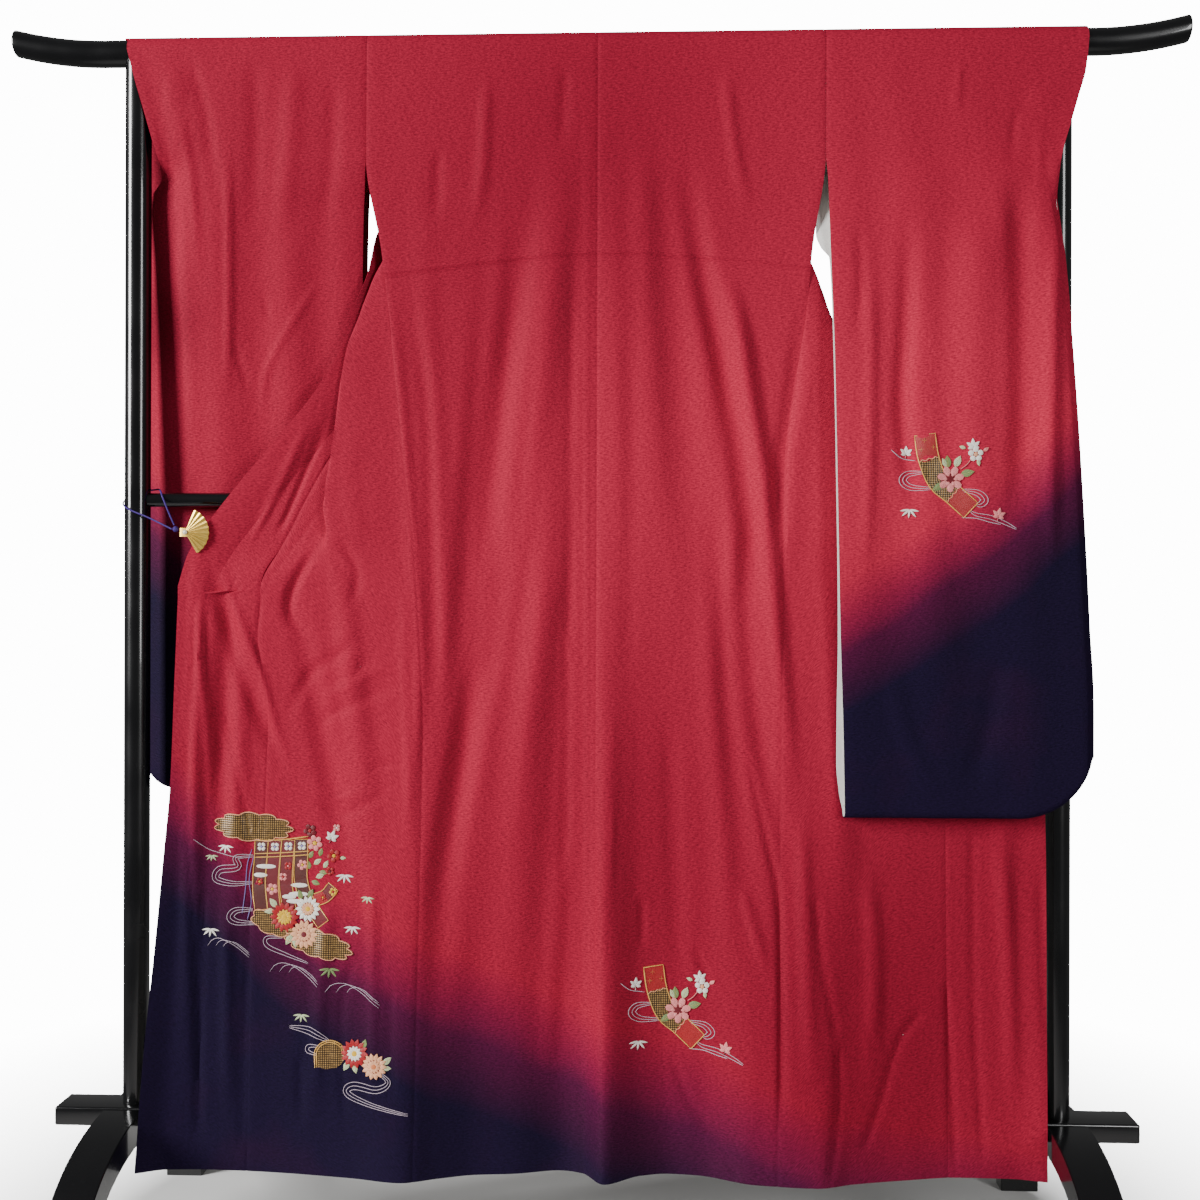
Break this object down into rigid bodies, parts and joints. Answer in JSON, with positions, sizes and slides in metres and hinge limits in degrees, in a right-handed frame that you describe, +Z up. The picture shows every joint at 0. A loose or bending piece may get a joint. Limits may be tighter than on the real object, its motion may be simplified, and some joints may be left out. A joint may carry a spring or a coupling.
{
  "type": "furisode kimono on a garment stand",
  "caption": "Long-sleeved formal kimono hung from behind over the rod of an open lacquered stand, its fronts drawn out by fan-shaped clips and cords.",
  "frame": {"origin": "middle of the whole object's box, on the floor under the stand's feet", "axes": "X runs along the top rod, left to right as seen from the back of the kimono; the back of the kimono faces -Y; Z is up"},
  "size_m": [1.642, 0.54, 1.7166],
  "materials": {
    "lacquer": "glossy black lacquer",
    "silk": "crimson silk crepe shaded to navy",
    "lining": "plain white silk",
    "gilt": "bright gilt",
    "pearl": "pearl",
    "cord": "twisted purple cord"
  },
  "bodies": {
    "root": {"top_rod": "lacquer", "post_left": "lacquer", "post_right": "lacquer", "mid_rail": "lacquer", "base_rail": "lacquer", "foot_left": "lacquer", "foot_right": "lacquer", "body_left": "silk", "body_right": "silk", "overlap_left": "silk", "overlap_right": "silk", "collar": "silk", "sleeve_left": "silk", "sleeve_right": "silk", "lining_sleeve_right": "lining", "fan_left": "gilt", "fan_right": "gilt", "jaw_left": "gilt", "jaw_right": "gilt", "pivot_left": "pearl", "pivot_right": "pearl", "knot_left": "cord", "knot_right": "cord", "cord_left": "cord", "cord_right": "cord"}
  },
  "joints": []
}
